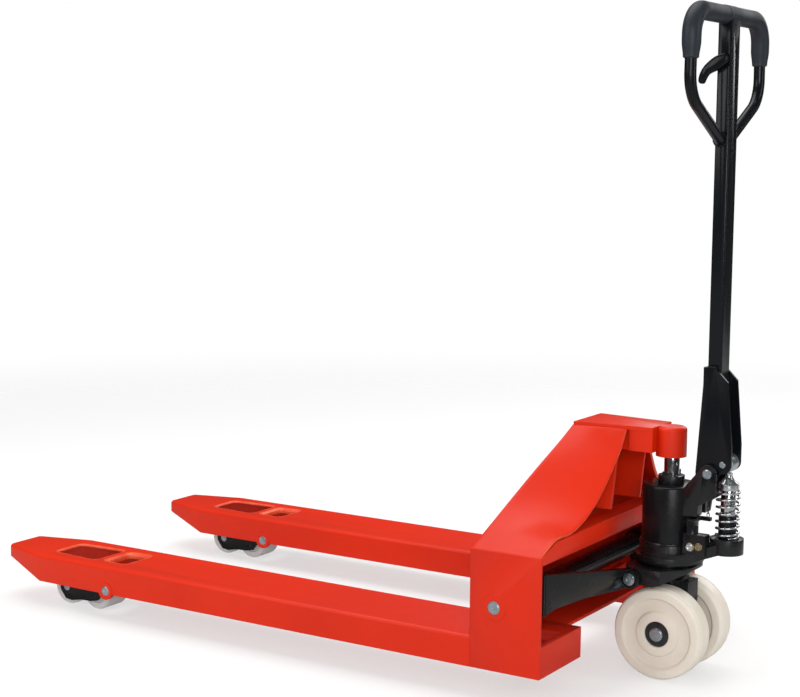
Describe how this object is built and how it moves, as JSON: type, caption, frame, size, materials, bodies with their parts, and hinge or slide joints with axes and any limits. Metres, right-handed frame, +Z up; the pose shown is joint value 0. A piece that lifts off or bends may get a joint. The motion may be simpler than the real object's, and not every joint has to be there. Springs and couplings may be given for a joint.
{
  "type": "pallet jack",
  "caption": "Hand pallet truck: two tapered forks on rocking rollers, welded tower, tilting pump handle with loop grip and nylon steering wheels.",
  "frame": {"origin": "on the floor, under the middle of the truck's overall box", "axes": "+X towards the operator's handle, forks along -X; +Y to the operator's right as they face the forks; +Z up"},
  "size_m": [1.515, 0.688, 1.204],
  "materials": {
    "frame_paint": "gloss",
    "black_paint": "gloss",
    "zinc_steel": "satin",
    "chrome_rod": "polished",
    "spring_steel": "satin",
    "brass_fitting": "satin",
    "bearing_seal": "matte",
    "grip_rubber": "matte",
    "cream_nylon": "satin",
    "roller_nylon": "satin"
  },
  "bodies": {
    "carrier": {"steer_carrier": "black_paint", "thrust_bearing": "zinc_steel", "arm_bolts": "zinc_steel"},
    "lift_arms": {"torsion_tube": "black_paint", "left_arm": "black_paint", "right_arm": "black_paint", "crank_pins": "zinc_steel", "heel_pins": "zinc_steel"},
    "fork_frame": {"left_fork": "frame_paint", "right_fork": "frame_paint", "left_heel": "frame_paint", "right_heel": "frame_paint", "front_plate": "frame_paint", "left_side_flange": "frame_paint", "right_side_flange": "frame_paint", "rear_band": "frame_paint", "cross_plate": "frame_paint", "tower_ribs": "frame_paint", "lift_head": "frame_paint", "fork_axle_pins": "zinc_steel"},
    "pump": {"pump_base": "black_paint", "pump_cylinder": "black_paint", "ram_gland": "black_paint", "handle_lugs": "black_paint", "pivot_bolt": "zinc_steel", "plunger_barrel": "black_paint", "valve_block": "black_paint", "valve_screws": "brass_fitting", "steer_yoke": "black_paint", "steer_axle": "zinc_steel", "steer_bearings": "bearing_seal"},
    "ram": {"lift_ram": "chrome_rod"},
    "plunger": {"pump_plunger": "black_paint", "spring_cap": "chrome_rod", "pump_spring": "spring_steel"},
    "handle": {"handle_base": "black_paint", "handle_tube": "black_paint", "handle_loop": "black_paint", "left_grip": "grip_rubber", "right_grip": "grip_rubber", "roller_pin": "zinc_steel"},
    "pressure_roller": {"pressure_roller": "zinc_steel"},
    "control_lever": {"control_lever": "black_paint"},
    "pull_rod": {"pull_rod": "zinc_steel"},
    "release_chain": {"release_chain": "zinc_steel"},
    "release_lever": {"release_lever": "black_paint"},
    "left_steer_wheel": {"left_steer_wheel": "cream_nylon"},
    "left_wheel_fork": {"left_wheel_fork": "black_paint"},
    "left_bogie": {"left_bogie": "black_paint", "left_roller_axles": "zinc_steel"},
    "left_front_roller": {"left_front_roller": "roller_nylon"},
    "left_rear_roller": {"left_rear_roller": "roller_nylon"},
    "left_push_rod": {"left_push_rod": "black_paint"},
    "right_steer_wheel": {"right_steer_wheel": "cream_nylon"},
    "right_wheel_fork": {"right_wheel_fork": "black_paint"},
    "right_bogie": {"right_bogie": "black_paint", "right_roller_axles": "zinc_steel"},
    "right_front_roller": {"right_front_roller": "roller_nylon"},
    "right_rear_roller": {"right_rear_roller": "roller_nylon"},
    "right_push_rod": {"right_push_rod": "black_paint"}
  },
  "joints": [
    {"name": "lift", "type": "hinge", "parent": "carrier", "child": "lift_arms", "pos_m": [0.5825, 0, 0.185], "axis": [0, 1, 0], "range_deg": [-10.24, 32.87]},
    {"name": "frame_level", "type": "hinge", "parent": "lift_arms", "child": "fork_frame", "pos_m": [0.4405, 0, 0.167], "axis": [0, 1, 0], "range_deg": [-32.97, 10.34]},
    {"name": "steering", "type": "hinge", "parent": "carrier", "child": "pump", "pos_m": [0.6175, 0, 0.203], "axis": [0, 0, 1], "range_deg": [-90, 90]},
    {"name": "ram_slide", "type": "slide", "parent": "pump", "child": "ram", "axis": [0, 0, 1], "range_m": [-0.026, 0.081]},
    {"name": "handle_tilt", "type": "hinge", "parent": "pump", "child": "handle", "pos_m": [0.7005, 0, 0.381], "axis": [0, 1, 0], "range_deg": [0, 80], "stiffness_Nm_per_rad": 30, "springref_deg": -14.32},
    {"name": "plunger_slide", "type": "slide", "parent": "pump", "child": "plunger", "axis": [0, 0, -1], "range_m": [0, 0.0382], "deforming": ["pump_spring"]},
    {"name": "pressure_roller_spin", "type": "hinge", "parent": "handle", "child": "pressure_roller", "pos_m": [0.7235, 0, 0.398], "axis": [0, 1, 0], "continuous": true},
    {"name": "control_lever_tilt", "type": "hinge", "parent": "handle", "child": "control_lever", "pos_m": [0.7035, 0, 1.112], "axis": [0, 1, 0], "range_deg": [-10, 10]},
    {"name": "pull_rod_slide", "type": "slide", "parent": "handle", "child": "pull_rod", "axis": [0, 0, 1], "range_m": [-0.0018, 0.0018]},
    {"name": "chain_slide", "type": "slide", "parent": "pump", "child": "release_chain", "axis": [0, 0, 1], "range_m": [-0.0018, 0.0018]},
    {"name": "release_lever_tilt", "type": "hinge", "parent": "pump", "child": "release_lever", "pos_m": [0.6745, 0, 0.2915], "axis": [0, -1, 0], "range_deg": [-7.3, 7.3]},
    {"name": "left_steer_wheel_spin", "type": "hinge", "parent": "pump", "child": "left_steer_wheel", "pos_m": [0.6285, -0.052, 0.085], "axis": [0, 1, 0], "continuous": true},
    {"name": "left_wheel_fork_tilt", "type": "hinge", "parent": "fork_frame", "child": "left_wheel_fork", "pos_m": [-0.4535, -0.2625, 0.06], "axis": [0, -1, 0], "range_deg": [-17.44, 55.75]},
    {"name": "left_bogie_level", "type": "hinge", "parent": "left_wheel_fork", "child": "left_bogie", "pos_m": [-0.5625, -0.2625, 0.037], "axis": [0, -1, 0], "range_deg": [-55.75, 17.44]},
    {"name": "left_push_rod_level", "type": "hinge", "parent": "left_wheel_fork", "child": "left_push_rod", "pos_m": [-0.44234, -0.2625, 0.09212], "axis": [0, -1, 0], "range_deg": [-55.75, 17.44]},
    {"name": "left_front_roller_spin", "type": "hinge", "parent": "left_bogie", "child": "left_front_roller", "pos_m": [-0.601, -0.2625, 0.037], "axis": [0, 1, 0], "continuous": true},
    {"name": "left_rear_roller_spin", "type": "hinge", "parent": "left_bogie", "child": "left_rear_roller", "pos_m": [-0.524, -0.2625, 0.037], "axis": [0, 1, 0], "continuous": true},
    {"name": "right_steer_wheel_spin", "type": "hinge", "parent": "pump", "child": "right_steer_wheel", "pos_m": [0.6285, 0.052, 0.085], "axis": [0, 1, 0], "continuous": true},
    {"name": "right_wheel_fork_tilt", "type": "hinge", "parent": "fork_frame", "child": "right_wheel_fork", "pos_m": [-0.4535, 0.2625, 0.06], "axis": [0, -1, 0], "range_deg": [-17.44, 55.75]},
    {"name": "right_bogie_level", "type": "hinge", "parent": "right_wheel_fork", "child": "right_bogie", "pos_m": [-0.5625, 0.2625, 0.037], "axis": [0, -1, 0], "range_deg": [-55.75, 17.44]},
    {"name": "right_push_rod_level", "type": "hinge", "parent": "right_wheel_fork", "child": "right_push_rod", "pos_m": [-0.44234, 0.2625, 0.09212], "axis": [0, -1, 0], "range_deg": [-55.75, 17.44]},
    {"name": "right_front_roller_spin", "type": "hinge", "parent": "right_bogie", "child": "right_front_roller", "pos_m": [-0.601, 0.2625, 0.037], "axis": [0, 1, 0], "continuous": true},
    {"name": "right_rear_roller_spin", "type": "hinge", "parent": "right_bogie", "child": "right_rear_roller", "pos_m": [-0.524, 0.2625, 0.037], "axis": [0, 1, 0], "continuous": true}
  ],
  "couplings": [
    {"joint": "frame_level", "follows": "lift", "ratio": -1},
    {"joint": "ram_slide", "follows": "lift", "m_per_rad": 0.13935},
    {"joint": "plunger_slide", "follows": "handle_tilt", "m_per_rad": 0.027},
    {"joint": "pull_rod_slide", "follows": "control_lever_tilt", "m_per_rad": 0.0085},
    {"joint": "chain_slide", "follows": "control_lever_tilt", "m_per_rad": 0.0085},
    {"joint": "release_lever_tilt", "follows": "control_lever_tilt", "ratio": 0.53125},
    {"joint": "left_wheel_fork_tilt", "follows": "lift", "ratio": 1.6932},
    {"joint": "left_bogie_level", "follows": "lift", "ratio": -1.6932},
    {"joint": "left_push_rod_level", "follows": "lift", "ratio": -1.6932},
    {"joint": "right_wheel_fork_tilt", "follows": "lift", "ratio": 1.6932},
    {"joint": "right_bogie_level", "follows": "lift", "ratio": -1.6932},
    {"joint": "right_push_rod_level", "follows": "lift", "ratio": -1.6932}
  ]
}
